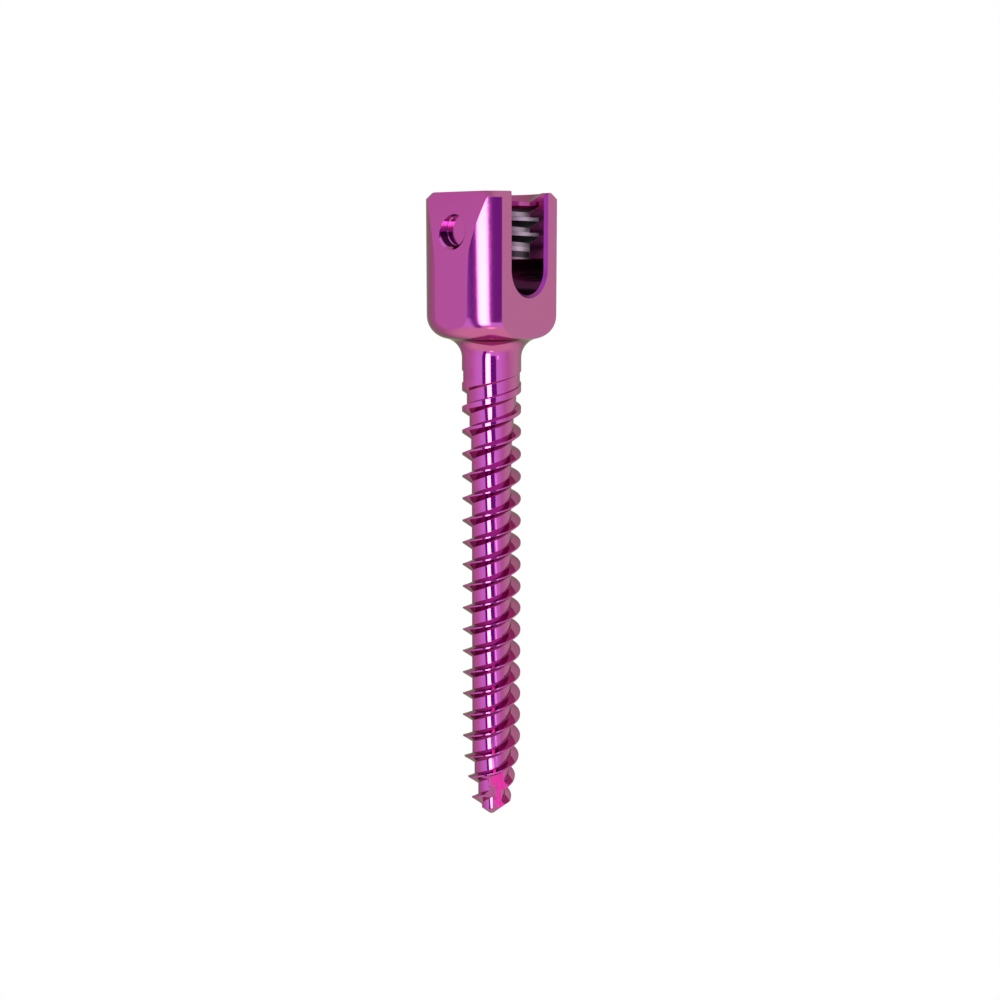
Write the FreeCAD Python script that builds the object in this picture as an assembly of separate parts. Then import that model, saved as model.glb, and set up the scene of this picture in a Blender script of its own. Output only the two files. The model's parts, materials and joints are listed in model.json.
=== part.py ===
# A one-piece pedicle screw: a double-start bone thread on a round shank, and a forked head
# with a U-shaped slot for a rod, threaded inside for a set screw.
#
# It is modelled in the screw's own frame and then laid down as it comes to rest:
#   Z runs up the screw's axis, from the point towards the open end of the head,
#   X is the way the rod lies through the slot, Y is the way from one arm to the other,
#   Z = 0 is the underside of the head.
import FreeCAD, Part
import math
import os

Vector = FreeCAD.Vector

# Driving dimensions, in millimetres and degrees

# Shank and bone thread
SHANK_LENGTH = 50.0          # underside of the head to the point
THREAD_DIA = 6.0             # over the crests; the neck is turned to the same size
ROOT_DIA = 4.05
THREAD_STARTS = 2
THREAD_SPACING = 2.29        # from one crest to the next along the axis
CREST_WIDTH = 0.13
FLANK_TO_HEAD = 18.0         # slope of a ridge's side that faces the head, off square
FLANK_TO_TIP = 33.0          # slope of a ridge's side that faces the point, off square
THREAD_TURN = 164.5          # where the first groove would cross the head's underside
PLAIN_NECK = 3.2             # head's underside to where the grooves begin
RUN_IN_LENGTH = 10.0         # along which the grooves sink to their full depth

# Point
TAPER_LENGTH = 7.15          # last part of the thread, which narrows to the point
ROOT_TAPER_LENGTH = 6.25     # the groove's bottom starts to narrow a little later
TAPER_ANGLE = 9.7            # half angle
POINT_ANGLE = 51.0           # half angle of the blunt end
POINT_FLAT_DIA = 0.5
FLUTE_COUNT = 2              # V-cuts at the point that let it cut its own thread
FLUTE_TURN = -5.0            # direction that the first flute's cutting wall points in
FLUTE_WEB = 1.86             # thickness that the flutes leave between their bottoms
FLUTE_RAKE = 0.15            # from the axis to the plane of the cutting wall
FLUTE_LENGTH = 4.85          # from the point to the flutes' square end

# Head
HEAD_DIA = 13.0
HEAD_HEIGHT = 14.3
HEAD_CORNER = 2.3            # rounding of the lower edge
NECK_FILLET = 2.0
TOP_CHAMFER = 0.6
ACROSS_SLOT_FACES = 9.8      # between the two flats that the rod comes out of
ACROSS_ARMS = 12.34          # between the arms' outer flats
ARM_CURVE_START = 6.8        # above this height the arms' outer faces curve inwards
ARM_CURVE_RADIUS = 26.0

# Rod slot
ROD_DIA = 5.0
ROD_CLEARANCE = 0.1
SLOT_FLOOR = 4.35            # lowest line of the U
SLOT_EDGE_CHAMFER = 0.3
SLOT_ENTRY_CHAMFER = 0.4

# Threaded hole for the set screw
SET_BORE_DIA = 7.6           # over the crests of the internal thread
SET_THREAD_DIA = 9.4         # to the bottom of the internal thread
SET_THREAD_PITCH = 1.5
SET_THREAD_SLOPE = 35.0      # the side of each ridge that faces the open end; the other is square
SET_THREAD_LEVEL = 11.93     # height of a groove's bottom on the arm at +Y
SET_BORE_FLOOR = 7.85
COUNTERSINK_DIA = 10.0
COUNTERSINK_ANGLE = 51.0     # half angle

# Blind holes in the arms that the instruments hold
GRIP_HOLE_DIA = 3.1
GRIP_HOLE_DEPTH = 1.0
GRIP_HOLE_HEIGHT = 10.6
GRIP_HOLE_BREAK = 0.12       # chamfer at the hole's rim
GRIP_HOLE_CORNER = 0.1       # slope that the cutter leaves round the hole's floor

# Working values

NODES_PER_TURN = 34          # points that each helical edge is drawn through
OVERSHOOT = 0.4              # how far a cutter reaches past what it cuts
THREAD_OVERSHOOT = 0.1       # the same for the bone thread, whose cutters stay clear of each other

THREAD_RADIUS = THREAD_DIA / 2
ROOT_RADIUS = ROOT_DIA / 2
THREAD_DEPTH = THREAD_RADIUS - ROOT_RADIUS
HEAD_RADIUS = HEAD_DIA / 2
SLOT_FACE = ACROSS_SLOT_FACES / 2
ARM_FACE = ACROSS_ARMS / 2
SLOT_WIDTH = ROD_DIA + ROD_CLEARANCE
TAPER_SLOPE = math.tan(math.radians(TAPER_ANGLE))
THREAD_LEAD = THREAD_SPACING * THREAD_STARTS
HEAD_SIDE = math.tan(math.radians(FLANK_TO_HEAD))
TIP_SIDE = math.tan(math.radians(FLANK_TO_TIP))
GROOVE_BOTTOM = THREAD_SPACING - CREST_WIDTH - THREAD_DEPTH * (HEAD_SIDE + TIP_SIDE)


def taper_start():
    """Height at which the thread's outside starts to narrow."""
    return TAPER_LENGTH - SHANK_LENGTH


def crest_radius(z):
    """Outside radius of the shank."""
    return THREAD_RADIUS - TAPER_SLOPE * max(0.0, taper_start() - z)


def groove_radius(z):
    """Radius of the groove's bottom: it sinks in below the neck and narrows at the point."""
    start = -PLAIN_NECK
    steepest = 2 * THREAD_DEPTH / RUN_IN_LENGTH
    if z > start:
        return THREAD_RADIUS + steepest * (z - start)
    run = min(1.0, (start - z) / RUN_IN_LENGTH)
    sunk = THREAD_DEPTH * (1 - (1 - run) ** 2)
    narrowed = TAPER_SLOPE * max(0.0, ROOT_TAPER_LENGTH - SHANK_LENGTH - z)
    return THREAD_RADIUS - sunk - narrowed


def facing_out(solid):
    """The same solid with its faces turned outwards, which a cut needs."""
    if solid.Volume < 0:
        solid.reverse()
    return solid


def arc(start, middle, end):
    return Part.Arc(start, middle, end).toShape()


def bend(centre, radius, start_angle, end_angle):
    """An arc in the XZ plane about centre, from one angle to another, both in degrees."""
    points = []
    for angle in (start_angle, (start_angle + end_angle) / 2, end_angle):
        turn = math.radians(angle)
        points.append(centre + Vector(radius * math.cos(turn), 0, radius * math.sin(turn)))
    return points


def turned_blank():
    """Head, neck, shank and point as they come off the lathe, before any milling."""
    top = HEAD_HEIGHT

    # The head's lower rounding runs on into the neck's fillet without an edge
    across = THREAD_RADIUS + NECK_FILLET - (HEAD_RADIUS - HEAD_CORNER)
    drop = math.sqrt((HEAD_CORNER + NECK_FILLET) ** 2 - across ** 2)
    meeting = math.degrees(math.atan2(-drop, across))
    corner_centre = Vector(HEAD_RADIUS - HEAD_CORNER, 0, HEAD_CORNER)
    corner = bend(corner_centre, HEAD_CORNER, 0, meeting)
    fillet = bend(corner_centre + Vector(across, 0, -drop), NECK_FILLET, 180 + meeting, 180)

    # The blunt point's cone meets the narrowing outside of the thread
    flat = POINT_FLAT_DIA / 2
    steep = math.tan(math.radians(POINT_ANGLE))
    taper_end_radius = THREAD_RADIUS - TAPER_SLOPE * TAPER_LENGTH
    rise = (taper_end_radius - flat) / (steep - TAPER_SLOPE)
    meet = Vector(flat + steep * rise, 0, rise - SHANK_LENGTH)

    edges = [
        Part.makeLine(Vector(0, 0, top), Vector(HEAD_RADIUS - TOP_CHAMFER, 0, top)),
        Part.makeLine(Vector(HEAD_RADIUS - TOP_CHAMFER, 0, top), Vector(HEAD_RADIUS, 0, top - TOP_CHAMFER)),
        Part.makeLine(Vector(HEAD_RADIUS, 0, top - TOP_CHAMFER), corner[0]),
        arc(*corner),
        arc(*fillet),
        Part.makeLine(fillet[2], Vector(THREAD_RADIUS, 0, taper_start())),
        Part.makeLine(Vector(THREAD_RADIUS, 0, taper_start()), meet),
        Part.makeLine(meet, Vector(flat, 0, -SHANK_LENGTH)),
        Part.makeLine(Vector(flat, 0, -SHANK_LENGTH), Vector(0, 0, -SHANK_LENGTH)),
        Part.makeLine(Vector(0, 0, -SHANK_LENGTH), Vector(0, 0, top)),
    ]
    profile = Part.Face(Part.Wire(edges))
    return profile.revolve(Vector(0, 0, 0), Vector(0, 0, 1), 360)


def arm_face(z):
    """How far the arm's outer face stands from the axis at a height."""
    above = max(0.0, z - ARM_CURVE_START)
    return ARM_FACE - ARM_CURVE_RADIUS + math.sqrt(ARM_CURVE_RADIUS ** 2 - above ** 2)


def milled_outline():
    """What the milling leaves of the blank: two slot faces, and arms that curve in at the top."""
    below = -SHANK_LENGTH - OVERSHOOT
    top = HEAD_HEIGHT + OVERSHOOT
    middle = (ARM_CURVE_START + top) / 2

    def at(side, z):
        return Vector(-SLOT_FACE, side * arm_face(z), z)

    edges = [
        Part.makeLine(at(1, below), at(1, ARM_CURVE_START)),
        arc(at(1, ARM_CURVE_START), at(1, middle), at(1, top)),
        Part.makeLine(at(1, top), at(-1, top)),
        arc(at(-1, top), at(-1, middle), at(-1, ARM_CURVE_START)),
        Part.makeLine(at(-1, ARM_CURVE_START), at(-1, below)),
        Part.makeLine(at(-1, below), at(1, below)),
    ]
    return Part.Face(Part.Wire(edges)).extrude(Vector(ACROSS_SLOT_FACES, 0, 0))


def slot_wire(x, grown=0.0):
    """The U of the rod slot at one place along the rod, made wider all round by grown."""
    half = SLOT_WIDTH / 2 + grown
    centre = SLOT_FLOOR + SLOT_WIDTH / 2
    top = HEAD_HEIGHT + OVERSHOOT
    return Part.Wire([
        Part.makeLine(Vector(x, half, top), Vector(x, half, centre)),
        arc(Vector(x, half, centre), Vector(x, 0, centre - half), Vector(x, -half, centre)),
        Part.makeLine(Vector(x, -half, centre), Vector(x, -half, top)),
        Part.makeLine(Vector(x, -half, top), Vector(x, half, top)),
    ])


def rod_slot():
    """Cutters for the slot, the chamfer round it on both slot faces and its entry."""
    reach = SLOT_FACE + OVERSHOOT
    cutters = [Part.Face(slot_wire(-reach)).extrude(Vector(2 * reach, 0, 0))]

    for side in (1, -1):
        inner = slot_wire(side * (SLOT_FACE - SLOT_EDGE_CHAMFER))
        outer = slot_wire(side * reach, SLOT_EDGE_CHAMFER + OVERSHOOT)
        cutters.append(Part.makeLoft([inner, outer], True, True))

    half = SLOT_WIDTH / 2
    wide = half + SLOT_ENTRY_CHAMFER + OVERSHOOT
    low = HEAD_HEIGHT - SLOT_ENTRY_CHAMFER
    high = HEAD_HEIGHT + OVERSHOOT
    entry = Part.makePolygon([
        Vector(-reach, half, low), Vector(-reach, wide, high),
        Vector(-reach, -wide, high), Vector(-reach, -half, low), Vector(-reach, half, low),
    ])
    cutters.append(Part.Face(entry).extrude(Vector(2 * reach, 0, 0)))
    return cutters


def ruled_face(one, other):
    """The face that straight lines span between two curves of the same make."""
    surface = Part.BSplineSurface()
    surface.buildFromPolesMultsKnots(
        [one.getPoles(), other.getPoles()], [2, 2], one.getMultiplicities(), [0.0, 1.0],
        one.getKnots(), False, False, 1, one.Degree)
    return surface.toShape()


def helical_piece(corners, first_turn, last_turn):
    """A solid with four corners in its section, wound about the axis for up to a turn."""
    count = NODES_PER_TURN
    tracks = [[], [], [], []]
    for step in range(count + 1):
        turn = first_turn + (last_turn - first_turn) * step / count
        angle = 2 * math.pi * turn
        for track, (radius, z) in zip(tracks, corners(turn)):
            track.append(Vector(radius * math.cos(angle), radius * math.sin(angle), z))

    curves = []
    for track in tracks:
        curve = Part.BSplineCurve()
        curve.interpolate(Points=track, Parameters=[float(node) for node in range(count + 1)])
        curves.append(curve)

    faces = [ruled_face(one, other) for one, other in zip(curves, curves[1:] + curves[:1])]
    for end in (0, -1):
        outline = [track[end] for track in tracks]
        faces.append(Part.Face(Part.makePolygon(outline + outline[:1])))
    return facing_out(Part.makeSolid(Part.makeShell(faces)))


def helical_cutter(corners, first_turn, last_turn):
    """A groove's cutter, as pieces of up to a turn that meet end to end.

    corners(turn) gives the section's four (radius, height) pairs at a turn, in whole turns.
    """
    count = math.ceil(last_turn - first_turn)
    ends = [first_turn + (last_turn - first_turn) * number / count for number in range(count + 1)]
    return [helical_piece(corners, low, high) for low, high in zip(ends, ends[1:])]


def bone_thread_groove(start):
    """The groove between two ridges of the bone thread, for one of its starts."""
    half = GROOVE_BOTTOM / 2
    offset = THREAD_TURN / 360 + start / THREAD_STARTS

    def corners(turn):
        z = THREAD_LEAD * (turn - offset)
        deep = groove_radius(z)
        high = max(THREAD_RADIUS, deep) + THREAD_OVERSHOOT
        return [
            (deep, z - half),
            (deep, z + half),
            (high, z + half + (high - deep) * TIP_SIDE),
            (high, z - half - (high - deep) * HEAD_SIDE),
        ]

    lowest = -SHANK_LENGTH - THREAD_SPACING
    highest = -PLAIN_NECK + OVERSHOOT
    return helical_cutter(corners, lowest / THREAD_LEAD + offset, highest / THREAD_LEAD + offset)


def flute(number):
    """One square V-cut at the point, which ends square under a ridge of the thread."""
    corner = Vector(FLUTE_WEB / 2, FLUTE_RAKE - THREAD_DIA, -SHANK_LENGTH - OVERSHOOT)
    cutter = Part.makeBox(THREAD_DIA, THREAD_DIA, FLUTE_LENGTH + OVERSHOOT, corner)
    cutter.rotate(Vector(0, 0, 0), Vector(0, 0, 1), FLUTE_TURN + 360 * number / FLUTE_COUNT)
    return cutter


def set_screw_hole():
    """Cutters for the bore, its countersink and its internal thread."""
    top = HEAD_HEIGHT + OVERSHOOT
    bore = Part.makeCylinder(SET_BORE_DIA / 2, top - SET_BORE_FLOOR, Vector(0, 0, SET_BORE_FLOOR))

    spread = math.tan(math.radians(COUNTERSINK_ANGLE))
    mouth = COUNTERSINK_DIA / 2 + OVERSHOOT * spread
    depth = mouth / spread
    countersink = Part.makeCone(0, mouth, depth, Vector(0, 0, top - depth))

    root = SET_THREAD_DIA / 2
    inside = SET_BORE_DIA / 2 - OVERSHOOT
    slope = math.tan(math.radians(SET_THREAD_SLOPE))
    flank = (SET_THREAD_DIA - SET_BORE_DIA) / 2 * slope
    land = (SET_THREAD_PITCH - flank) / 2

    def corners(turn):
        z = SET_THREAD_LEVEL + SET_THREAD_PITCH * (turn - 0.25)
        return [
            (inside, z + land / 2),
            (root, z + land / 2),
            (root, z - land / 2),
            (inside, z - land / 2 - (root - inside) * slope),
        ]

    # The groove ends in the open slot, at the last half turn that stays above the bore's floor
    lowest = SET_BORE_FLOOR + land / 2 + flank
    half_turns = math.ceil(2 * (lowest - SET_THREAD_LEVEL) / SET_THREAD_PITCH + 0.5)
    above = (top + SET_THREAD_PITCH - SET_THREAD_LEVEL) / SET_THREAD_PITCH
    return [bore, countersink] + helical_cutter(corners, half_turns / 2, above)


def grip_holes():
    """The blind hole in each arm, with its rim broken and a sloped corner round its floor."""
    floor = arm_face(GRIP_HOLE_HEIGHT) - GRIP_HOLE_DEPTH
    wall_foot = floor + GRIP_HOLE_CORNER
    rim = floor + GRIP_HOLE_DEPTH - GRIP_HOLE_BREAK
    radius = GRIP_HOLE_DIA / 2
    mouth = radius + GRIP_HOLE_BREAK + OVERSHOOT
    cutters = []
    for side in (1, -1):
        along = Vector(0, side, 0)

        def at(distance):
            return along * distance + Vector(0, 0, GRIP_HOLE_HEIGHT)

        cutters.append(Part.makeCone(radius - GRIP_HOLE_CORNER, radius, GRIP_HOLE_CORNER, at(floor), along))
        cutters.append(Part.makeCylinder(radius, ARM_FACE, at(wall_foot), along))
        cutters.append(Part.makeCone(radius, mouth, GRIP_HOLE_BREAK + OVERSHOOT, at(rim), along))
    return cutters


def resting_slope():
    """Slope of the axis when the screw lies on a slot face's lower end and a crest by the point."""
    inset = max(0.0, SLOT_FACE - (HEAD_RADIUS - HEAD_CORNER))
    head_contact = HEAD_CORNER - math.sqrt(HEAD_CORNER ** 2 - inset ** 2)

    # Heights of the crests on the side that faces down, which is half a turn from +X
    below_groove = GROOVE_BOTTOM / 2 + THREAD_DEPTH * HEAD_SIDE + CREST_WIDTH / 2
    first = THREAD_LEAD * (0.5 - THREAD_TURN / 360) - below_groove

    slopes = []
    for number in range(1, int(SHANK_LENGTH / THREAD_SPACING) + THREAD_STARTS):
        z = first - number * THREAD_SPACING
        if POINT_FLAT_DIA - SHANK_LENGTH < z < -RUN_IN_LENGTH:
            slopes.append((SLOT_FACE - crest_radius(z)) / (head_contact - z))
    return min(slopes)


def lay_down(screw):
    """Turn the screw from upright to its rest: head at +X, the slot's way up, origin under it."""
    origin = Vector(0, 0, 0)
    screw.rotate(origin, Vector(0, 1, 0), 90)
    screw.rotate(origin, Vector(1, 0, 0), 180)
    screw.rotate(origin, Vector(0, 1, 0), -math.degrees(math.atan(resting_slope())))
    box = screw.optimalBoundingBox(False, False)
    screw.translate(Vector(-(box.XMin + box.XMax) / 2, 0, -box.ZMin))
    return screw


def pedicle_screw():
    grooves = []
    for start in range(THREAD_STARTS):
        grooves += bone_thread_groove(start)
    flutes = [flute(number) for number in range(FLUTE_COUNT)]

    screw = turned_blank().common(milled_outline())
    for cutters in (rod_slot(), set_screw_hole(), grip_holes(), grooves, flutes):
        screw = screw.cut(cutters)
    return lay_down(screw.Solids[0])


os.makedirs("parts", exist_ok=True)
pedicle_screw().exportStep("parts/pedicle_screw.step")
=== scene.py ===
import json
import math

import bmesh
import bpy
from mathutils import Matrix, Vector

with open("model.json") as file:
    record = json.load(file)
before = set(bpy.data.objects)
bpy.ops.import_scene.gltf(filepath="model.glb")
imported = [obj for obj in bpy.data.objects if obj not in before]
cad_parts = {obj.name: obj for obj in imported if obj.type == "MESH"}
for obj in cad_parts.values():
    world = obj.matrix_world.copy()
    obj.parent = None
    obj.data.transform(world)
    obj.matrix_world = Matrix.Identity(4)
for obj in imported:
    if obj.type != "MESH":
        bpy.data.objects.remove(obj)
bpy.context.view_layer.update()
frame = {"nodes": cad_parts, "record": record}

# Sizes are in millimetres here, and MM turns them into the scene's metres
MM = 0.001

# The photograph's view: the screw stands upright in it, head up
PICTURE_PX = 1000.0
FOCAL_PX = 1480.0            # the camera's focal length
SENSOR_WIDTH = 36.0
CAMERA_DISTANCE = 151.5      # camera to the point of the axis that it aims at
CAMERA_DOWN = 9.3            # how far the camera looks down along the screw, in degrees
CAMERA_TURN = -50.0          # from the rod's direction towards the arm whose hole is seen
AIM_BELOW_TOP = 30.775       # top of the head to the point that the camera aims at
AXIS_LEFT_PX = 8.45          # how far left of the picture's middle the axis runs

# Studio: lamps and cards are strips along the screw. Their first two numbers are the angles
# about its axis where they begin and end, from the camera and positive to its right, and the
# next two are their ends along the axis, from the point that the camera aims at.
STUDIO_RADIUS = 330.0              # from the axis to the strips
WHOLE = (-385.0, 235.0)            # the ends of a strip that runs past the whole screw
SOFTBOX = (-22.6, -5.0, -230.0, 52.0)
BRIGHT_LINE = (23.5, 28.5, -140.0, -45.0)
LOW_CARD = (-36.5, -22.8, *WHOLE)
HEAD_CARD = (-40.0, -33.0, 0.0, 200.0)
HIGH_CARD = (-4.5, 17.5, -135.0, 235.0)
SOFTBOX_BRIGHTNESS = 6.2
LINE_BRIGHTNESS = 1.2
CARD_GLOW = (0.22, 0.03, 0.42)     # what little light the dark cards send back
POINT_LAMP_PLACE = (60.0, -55.0)   # away from the axis, and along it from the aim
POINT_LAMP_SIZE = 16.0
POINT_BRIGHTNESS = 1.5

# The sky's tint goes round the screw's axis, by the angle from the camera: violet on the
# camera's side, rose on both sides of that, pale green further right and dim on the far side
COOL = (1.14, 0.98, 1.62)
ROSE = (0.87, 0.65, 0.86)
PALE = (0.92, 1.22, 0.85)
DIM = (0.56, 0.64, 0.40)
SKY_TINTS = (
    (-180, DIM), (-90, ROSE), (-52, COOL), (30, COOL),
    (64, ROSE), (105, PALE), (135, PALE), (180, DIM),
)
SKY_STRENGTH = 0.84
SKY_BELOW = (1.15, 1.20, 0.90)     # its colour beyond the screw's point
SKY_BELOW_LIMITS = (-0.60, -0.85)  # cosine to the axis where that begins and where it is full

# The white ground and the dome round it, which the metal doesn't show
FLOOR_SIZE = 6000.0
BACKDROP_RADIUS = 1200.0
WHITE = (1.0, 1.0, 1.0)

# The bare thread for the set screw: radii and heights that hold it
BARE_RADIUS = (3.65, 4.76)
BARE_BELOW_TOP = (1.35, 6.42)

# That thread's grooves: height of one's middle on the arm at +Y, and shares of the pitch
SET_THREAD_PITCH = 1.5
SET_THREAD_BELOW_TOP = 2.37
GROOVE_SHARE = 0.29
CREST_SHARE = 0.29
QUARTER_TURN = 0.25                # from the rod's direction to +Y

# The slot for the rod
SLOT_HALF_WIDTH = 2.62             # a hair over the slot's own, to take in its walls
SLOT_EDGE = (4.59, 4.893)          # from the axis along the rod: the chamfer round the slot
SLOT_EDGE_REACH = 0.33             # how far beyond the walls that chamfer can lie
SLOT_DEPTH = 10.4                  # top of the head to just below the slot's chamfered bottom
HEAD_HEIGHT = 14.3                 # top of the head to its underside

# The holes in the arms: their height, radius, and how far out their walls stand
HOLE_BELOW_TOP = 3.7
HOLE_RADIUS = 1.55
HOLE_MARGIN = 0.08                 # takes in the hole's wall
HOLE_WALL = (4.95, 6.0)
HOLE_SHADE_TOP = -0.1              # where the painted shade on the wall ends, from the hole's middle

# The flutes at the point: direction of their walls and height of their square end
FLUTE_TURN = -5.0
FLUTE_BELOW_TOP = 59.45
FLUTE_FACING = 0.985               # how squarely a face looks along a wall's direction, as a cosine

# How softly the painted areas end
RING_SOFTNESS = 0.01
BAND_SOFTNESS = 0.02
SHADE_SOFTNESS = 0.06
SLOT_EDGE_SOFTNESS = 0.005
DEEP_SOFTNESS = 0.03

# Colours of the film and of the bare metal
VIOLET = (0.565, 0.124, 0.388)
MAGENTA = (0.585, 0.132, 0.364)
RECESS_PAINTED_SHADE = (0.07, 0.012, 0.045)      # painted shade: the film darkened where little light comes, in the deep slot and on the lower half of the holes' walls
CHAMFER_PAINTED_SHADE = (0.36, 0.05, 0.30)     # painted shade: a darker film on the slot's chamfer
GRAZING_TINT = (0.50, 0.55, 0.50)  # tints the reflection at a grazing angle
# The bare thread's grey, with painted light on its grooves and painted shade on its crests and
# sloped sides
BARE_GROOVE_PAINTED_LIGHT = (0.78, 0.77, 0.77)
BARE_CREST_PAINTED_SHADE = (0.50, 0.50, 0.50)
BARE_FLANK_PAINTED_SHADE = (0.10, 0.10, 0.10)

# The surface: how many grains of a pattern come on a millimetre, and how deep its relief is
TINT_GRAIN = 0.35
POLISH_GRAIN = 3.0
PIT_GRAIN = 14.0
PIT_DEPTH = 0.0003
HEAD_PIT_DEPTH = 0.0013            # what the head's deeper pits add to that
MARK_GRAIN = (0.4, 0.4, 26.0)      # turning marks: long across the axis and fine along it
MARK_DEPTH = 0.0006
EDGE_ROUNDING = 0.05

# Roughness of the polished film, and what some areas add to it
POLISH = (0.05, 0.08)
HEAD_DULLER = 0.07
BARE_DULLER = 0.19
EDGE_DULLER = 0.25
FLUTE_DULLER = 0.25

# A faint clear gloss over everything
COAT_WEIGHT = 0.15
COAT_IOR = 1.3
COAT_ROUGHNESS = 0.08


def mounts():
    return {mount["name"]: mount for mount in frame["record"]["mounts"]}


def screw_frame():
    """The screw's own directions at rest: towards the head, along the rod, and from arm to arm."""
    up = Vector(mounts()["set_screw_thread"]["axis"])
    along_rod = Vector(mounts()["rod_seat"]["axis"])
    return up, along_rod, up.cross(along_rod)


def head_top():
    """The middle of the head's open end."""
    return Vector(mounts()["set_screw_thread"]["pos_m"])


UP, ALONG_ROD, TO_ARM = screw_frame()
AIM = head_top() - UP * AIM_BELOW_TOP * MM


def around(angle):
    """The direction square to the screw's axis at an angle from the camera's own."""
    turn = math.radians(CAMERA_TURN + angle)
    return ALONG_ROD * math.cos(turn) + TO_ARM * math.sin(turn)


def put(thing, place, away, upwards):
    """Sets an object at a place, with its back to away."""
    right = upwards.cross(away)
    axes = Matrix((right, upwards, away)).transposed()
    thing.matrix_world = Matrix.Translation(place) @ axes.to_4x4()
    bpy.context.collection.objects.link(thing)


class Nodes:
    """Short ways to add and join the nodes of one material or of the sky."""

    def __init__(self, owner):
        owner.use_nodes = True
        self.tree = owner.node_tree

    def add(self, kind, **settings):
        node = self.tree.nodes.new(kind)
        for name, value in settings.items():
            setattr(node, name, value)
        return node

    def join(self, source, target):
        self.tree.links.new(source, target)

    def feed(self, node, values):
        """Sets a node's inputs: a number or a tuple is a value, a socket is linked."""
        for key, value in values.items():
            if isinstance(value, bpy.types.NodeSocket):
                self.join(value, node.inputs[key])
            else:
                node.inputs[key].default_value = value

    def math(self, operation, *values):
        node = self.add("ShaderNodeMath", operation=operation)
        self.feed(node, dict(enumerate(values)))
        return node.outputs[0]

    def dot(self, place, direction):
        node = self.add("ShaderNodeVectorMath", operation="DOT_PRODUCT")
        self.feed(node, {0: place, 1: tuple(direction)})
        return node.outputs["Value"]

    def length(self, first, second):
        """Distance from the origin, from two coordinates."""
        first_square = self.math("MULTIPLY", first, first)
        second_square = self.math("MULTIPLY", second, second)
        return self.math("SQRT", self.math("ADD", first_square, second_square))

    def product(self, *values):
        result = values[0]
        for value in values[1:]:
            result = self.math("MULTIPLY", result, value)
        return result

    def between(self, value, low, high, soft):
        """1 where value lies between low and high, and 0 outside, with soft edges."""
        rise = self.add("ShaderNodeMapRange", interpolation_type="SMOOTHSTEP")
        self.feed(rise, {"Value": value, "From Min": low - soft, "From Max": low + soft})
        fall = self.add("ShaderNodeMapRange", interpolation_type="SMOOTHSTEP")
        self.feed(fall, {"Value": value, "From Min": high - soft, "From Max": high + soft,
                         "To Min": 1.0, "To Max": 0.0})
        return self.math("MULTIPLY", rise.outputs[0], fall.outputs[0])

    def noise(self, place, scale, detail, roughness=0.5):
        node = self.add("ShaderNodeTexNoise")
        self.feed(node, {"Vector": place, "Scale": scale, "Detail": detail, "Roughness": roughness})
        return node.outputs["Fac"]

    def mix(self, factor, first, second):
        """The first colour where factor is 0 and the second where it is 1."""
        node = self.add("ShaderNodeMix", data_type="RGBA")
        self.feed(node, {"Factor": factor})
        for socket, value in ((node.inputs[6], first), (node.inputs[7], second)):
            if isinstance(value, bpy.types.NodeSocket):
                self.join(value, socket)
            else:
                socket.default_value = (*value, 1.0)
        return node.outputs[2]

    def bump(self, height, distance, normal):
        """The given normal, tilted as a relief of this height and depth would tilt it."""
        node = self.add("ShaderNodeBump")
        self.feed(node, {"Height": height, "Distance": distance, "Strength": 1.0, "Normal": normal})
        return node.outputs["Normal"]


def make_camera():
    down = math.radians(CAMERA_DOWN)
    away = around(0) * math.cos(down) + UP * math.sin(down)
    upwards = UP * math.cos(down) - around(0) * math.sin(down)
    data = bpy.data.cameras.new("camera")
    data.sensor_fit = "HORIZONTAL"
    data.sensor_width = SENSOR_WIDTH
    data.lens = SENSOR_WIDTH * FOCAL_PX / PICTURE_PX
    data.shift_x = AXIS_LEFT_PX / PICTURE_PX
    data.clip_start = 1 * MM
    data.clip_end = 2 * FLOOR_SIZE * MM
    camera = bpy.data.objects.new("camera", data)
    put(camera, AIM + away * CAMERA_DISTANCE * MM, away, upwards)
    bpy.context.scene.camera = camera


def strip_place(first, last, low, high):
    """Place, direction, width and length of a strip of the studio."""
    away = around((first + last) / 2)
    place = AIM + (away * STUDIO_RADIUS + UP * (low + high) / 2) * MM
    width = 2 * STUDIO_RADIUS * math.tan(math.radians(last - first) / 2)
    return place, away, width * MM, (high - low) * MM


def make_lamp(name, place, away, width, length, brightness):
    """A soft lamp, whose brightness is that of its surface."""
    data = bpy.data.lights.new(name, "AREA")
    data.shape = "RECTANGLE"
    data.size = width
    data.size_y = length
    data.energy = brightness * math.pi * width * length
    lamp = bpy.data.objects.new(name, data)
    lamp.visible_camera = False
    put(lamp, place, away, UP)


def make_point_lamp():
    """A small lamp on the camera's side, a little beyond the screw's point."""
    side, along = POINT_LAMP_PLACE
    place = AIM + (around(0) * side + UP * along) * MM
    size = POINT_LAMP_SIZE * MM
    make_lamp("point_lamp", place, around(0), size, size, POINT_BRIGHTNESS)


def plain_sheet(name, width, length):
    """A flat rectangle about its own origin."""
    x = width / 2
    y = length / 2
    mesh = bpy.data.meshes.new(name)
    mesh.from_pydata([(-x, -y, 0), (x, -y, 0), (x, y, 0), (-x, y, 0)], [], [(0, 1, 2, 3)])
    return bpy.data.objects.new(name, mesh)


def make_card(name, strip, material):
    """A dim card that the polished metal shows as a dark band."""
    place, away, width, length = strip_place(*strip)
    card = plain_sheet(name, width, length)
    card.data.materials.append(material)
    card.visible_camera = False
    card.visible_diffuse = False
    card.visible_shadow = False
    put(card, place, away, UP)


def glowing(name, colour):
    """A material that only gives off light."""
    material = bpy.data.materials.new(name)
    nodes = Nodes(material)
    nodes.tree.nodes.clear()
    glow = nodes.add("ShaderNodeEmission")
    nodes.feed(glow, {"Color": (*colour, 1.0)})
    output = nodes.add("ShaderNodeOutputMaterial")
    nodes.join(glow.outputs[0], output.inputs["Surface"])
    return material


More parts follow.
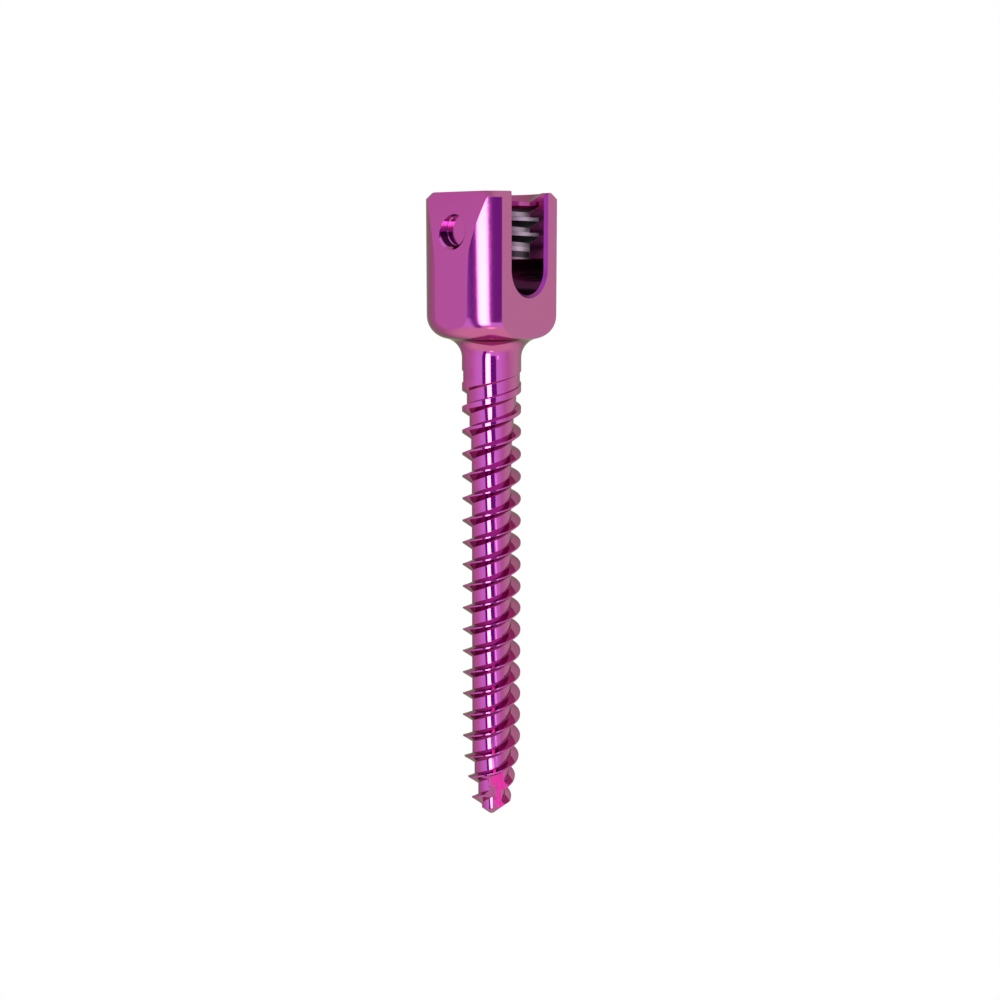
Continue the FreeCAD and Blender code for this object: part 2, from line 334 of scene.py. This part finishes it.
def make_floor():
    """A light table: it glows white, and the metal shows the sky's colours in its place."""
    floor = plain_sheet("floor", FLOOR_SIZE * MM, FLOOR_SIZE * MM)
    floor.data.materials.append(glowing("floor", WHITE))
    floor.visible_glossy = False
    bpy.context.collection.objects.link(floor)


def make_backdrop():
    """A white dome behind everything, which the metal doesn't show either."""
    ball = bmesh.new()
    bmesh.ops.create_icosphere(ball, subdivisions=4, radius=BACKDROP_RADIUS * MM)
    mesh = bpy.data.meshes.new("backdrop")
    ball.to_mesh(mesh)
    ball.free()
    mesh.materials.append(glowing("backdrop", WHITE))
    backdrop = bpy.data.objects.new("backdrop", mesh)
    backdrop.visible_glossy = False
    backdrop.visible_shadow = False
    bpy.context.collection.objects.link(backdrop)


def make_sky():
    """Tints that go round the screw's axis, and one more colour beyond its point."""
    world = bpy.data.worlds.new("sky")
    nodes = Nodes(world)
    direction = nodes.add("ShaderNodeTexCoord").outputs["Generated"]
    to_right = nodes.dot(direction, around(90))
    to_camera = nodes.dot(direction, around(0))
    angle = nodes.math("ARCTAN2", to_right, to_camera)
    part = nodes.add("ShaderNodeMapRange")
    nodes.feed(part, {"Value": angle, "From Min": -math.pi, "From Max": math.pi})
    ramp = nodes.add("ShaderNodeValToRGB")
    nodes.join(part.outputs[0], ramp.inputs[0])
    stops = ramp.color_ramp.elements
    while len(stops) < len(SKY_TINTS):
        stops.new(1.0)
    for stop, (degrees, colour) in zip(stops, SKY_TINTS):
        stop.position = (degrees + 180) / 360
        stop.color = (*colour, 1.0)
    begins, full = SKY_BELOW_LIMITS
    below = nodes.add("ShaderNodeMapRange")
    nodes.feed(below, {"Value": nodes.dot(direction, UP), "From Min": begins, "From Max": full})
    colour = nodes.mix(below.outputs[0], ramp.outputs[0], SKY_BELOW)
    nodes.feed(nodes.tree.nodes["Background"], {"Color": colour, "Strength": SKY_STRENGTH})
    bpy.context.scene.world = world


def make_studio():
    make_sky()
    make_lamp("softbox", *strip_place(*SOFTBOX), SOFTBOX_BRIGHTNESS)
    make_lamp("bright_line", *strip_place(*BRIGHT_LINE), LINE_BRIGHTNESS)
    make_point_lamp()
    dim = glowing("dark_card", CARD_GLOW)
    make_card("low_card", LOW_CARD, dim)
    make_card("head_card", HEAD_CARD, dim)
    make_card("high_card", HIGH_CARD, dim)
    make_floor()
    make_backdrop()
    bpy.context.scene.view_settings.view_transform = "Standard"


def screw_place(nodes):
    """Coordinates in the screw's own frame, in millimetres, with their origin in the head's top."""
    shifted = nodes.add("ShaderNodeVectorMath", operation="SUBTRACT")
    coordinates = nodes.add("ShaderNodeTexCoord")
    nodes.feed(shifted, {0: coordinates.outputs["Object"], 1: tuple(head_top())})
    scaled = nodes.add("ShaderNodeVectorMath", operation="SCALE")
    nodes.feed(scaled, {0: shifted.outputs[0], "Scale": 1 / MM})
    place = scaled.outputs[0]
    joined = nodes.add("ShaderNodeCombineXYZ")
    nodes.feed(joined, {"X": nodes.dot(place, ALONG_ROD), "Y": nodes.dot(place, TO_ARM),
                        "Z": nodes.dot(place, UP)})
    return joined.outputs[0]


def split(nodes, place):
    node = nodes.add("ShaderNodeSeparateXYZ")
    nodes.feed(node, {0: place})
    return node.outputs["X"], node.outputs["Y"], node.outputs["Z"]


def stretched(nodes, place, factors):
    """The same place with each direction scaled, for grain that runs one way."""
    node = nodes.add("ShaderNodeVectorMath", operation="MULTIPLY")
    nodes.feed(node, {0: place, 1: factors})
    return node.outputs[0]


def bare_thread_mask(nodes, x, y, z):
    """1 on the set screw's thread, which is cut after the colour and so is bare metal."""
    ring = nodes.between(nodes.length(x, y), *BARE_RADIUS, RING_SOFTNESS)
    band = nodes.between(z, -BARE_BELOW_TOP[1], -BARE_BELOW_TOP[0], BAND_SOFTNESS)
    beside = nodes.math("GREATER_THAN", nodes.math("ABSOLUTE", y), SLOT_HALF_WIDTH)
    return nodes.product(ring, band, beside)


def bare_metal_painted_light_and_shade(nodes, x, y, z):
    """The bare metal's grey with painted light and shade: bright grooves, greyer crests and dark
    sloped sides, wound up the hole as the thread is.
    """
    turns = nodes.math("DIVIDE", nodes.math("ARCTAN2", y, x), 2 * math.pi)
    level = nodes.math("DIVIDE", nodes.math("ADD", z, SET_THREAD_BELOW_TOP), SET_THREAD_PITCH)
    start = QUARTER_TURN + GROOVE_SHARE / 2
    part = nodes.math("FRACT", nodes.math("ADD", nodes.math("SUBTRACT", level, turns), start))
    on_crest = nodes.math("GREATER_THAN", part, GROOVE_SHARE)
    on_flank = nodes.math("GREATER_THAN", part, GROOVE_SHARE + CREST_SHARE)
    return nodes.mix(on_flank, nodes.mix(on_crest, BARE_GROOVE_PAINTED_LIGHT, BARE_CREST_PAINTED_SHADE), BARE_FLANK_PAINTED_SHADE)


def hole_painted_shade_mask(nodes, x, y, z):
    """1 on the lower half of the wall of the holes in the arms, where shade is painted."""
    above = nodes.math("ADD", z, HOLE_BELOW_TOP)
    near = nodes.math("LESS_THAN", nodes.length(x, above), HOLE_RADIUS + HOLE_MARGIN)
    wall = nodes.between(nodes.math("ABSOLUTE", y), *HOLE_WALL, RING_SOFTNESS)
    low = nodes.between(above, -HOLE_RADIUS, HOLE_SHADE_TOP, SHADE_SOFTNESS)
    return nodes.product(near, wall, low)


def flute_mask(nodes, facing, z):
    """1 on the flutes' flat walls."""
    turn = math.radians(FLUTE_TURN)
    outwards = ALONG_ROD * math.cos(turn) + TO_ARM * math.sin(turn)
    flats = []
    for way in (outwards, UP.cross(outwards)):
        squarely = nodes.math("ABSOLUTE", nodes.dot(facing, way))
        flats.append(nodes.math("GREATER_THAN", squarely, FLUTE_FACING))
    low = nodes.math("LESS_THAN", z, -FLUTE_BELOW_TOP)
    return nodes.product(nodes.math("MAXIMUM", *flats), low)


def slot_edge_mask(nodes, x, y, z):
    """1 on the chamfer round the slot, which gets painted shade and more roughness."""
    out = nodes.between(nodes.math("ABSOLUTE", x), *SLOT_EDGE, SLOT_EDGE_SOFTNESS)
    reach = SLOT_HALF_WIDTH + SLOT_EDGE_REACH
    near = nodes.math("LESS_THAN", nodes.math("ABSOLUTE", y), reach)
    high = nodes.math("GREATER_THAN", z, -SLOT_DEPTH)
    return nodes.product(out, near, high)


def deep_slot_painted_shade_mask(nodes, x, y, z):
    """1 on the walls of the slot below the set screw's thread, where shade is painted."""
    inside = nodes.math("LESS_THAN", nodes.math("ABSOLUTE", x), SLOT_EDGE[0])
    near = nodes.math("LESS_THAN", nodes.math("ABSOLUTE", y), SLOT_HALF_WIDTH)
    deep = nodes.between(z, -SLOT_DEPTH, -BARE_BELOW_TOP[1], DEEP_SOFTNESS)
    return nodes.product(inside, near, deep)


def relief(nodes, place, head):
    """Rounded edges, turning marks round the screw and fine pits, deeper on the head."""
    rounded = nodes.add("ShaderNodeBevel", samples=4)
    nodes.feed(rounded, {"Radius": EDGE_ROUNDING * MM})
    marks = nodes.noise(stretched(nodes, place, MARK_GRAIN), scale=1.0, detail=3.0, roughness=0.6)
    marked = nodes.bump(marks, MARK_DEPTH * MM, rounded.outputs[0])
    pits = nodes.noise(place, PIT_GRAIN, detail=2.0, roughness=0.6)
    depth = nodes.math("MULTIPLY_ADD", head, HEAD_PIT_DEPTH * MM, PIT_DEPTH * MM)
    return nodes.bump(pits, depth, marked)


def anodised_titanium():
    material = bpy.data.materials.new("anodised_titanium")
    nodes = Nodes(material)
    place = screw_place(nodes)
    x, y, z = split(nodes, place)
    head = nodes.math("GREATER_THAN", z, -HEAD_HEIGHT)
    bare = bare_thread_mask(nodes, x, y, z)
    edge = slot_edge_mask(nodes, x, y, z)
    flute = flute_mask(nodes, nodes.add("ShaderNodeTexCoord").outputs["Normal"], z)
    # Where shade is painted: the deep slot's walls and the lower half of the holes' walls
    recess_painted_shade = nodes.math("MAXIMUM", deep_slot_painted_shade_mask(nodes, x, y, z), hole_painted_shade_mask(nodes, x, y, z))

    # The film's colour drifts a little over the surface
    film = nodes.mix(nodes.noise(place, TINT_GRAIN, detail=3.0), VIOLET, MAGENTA)
    # Painted shade: the slot's chamfer is darker
    film = nodes.mix(edge, film, CHAMFER_PAINTED_SHADE)
    # Painted shade: those recesses get a much darker film
    film = nodes.mix(recess_painted_shade, film, RECESS_PAINTED_SHADE)

    # So does its polish
    polish = nodes.add("ShaderNodeMapRange")
    grain = nodes.noise(place, POLISH_GRAIN, detail=3.0)
    nodes.feed(polish, {"Value": grain, "To Min": POLISH[0], "To Max": POLISH[1]})
    dulled = polish.outputs[0]
    areas = ((head, HEAD_DULLER), (bare, BARE_DULLER), (edge, EDGE_DULLER), (flute, FLUTE_DULLER))
    for mask, duller in areas:
        dulled = nodes.math("MULTIPLY_ADD", mask, duller, dulled)

    nodes.feed(nodes.tree.nodes["Principled BSDF"], {
        # the bare thread gets its grey with painted light and shade in bands
        "Base Color": nodes.mix(bare, film, bare_metal_painted_light_and_shade(nodes, x, y, z)),
        "Metallic": 1.0,
        "Roughness": dulled,
        "Normal": relief(nodes, place, head),
        "Specular Tint": (*GRAZING_TINT, 1.0),
        "Coat Weight": COAT_WEIGHT,
        "Coat IOR": COAT_IOR,
        "Coat Roughness": COAT_ROUGHNESS,
    })
    return material


def dress_screw():
    screw = frame["nodes"]["pedicle_screw"]
    material = anodised_titanium()
    screw.data.materials.clear()
    screw.data.materials.append(material)


make_camera()
make_studio()
dress_screw()
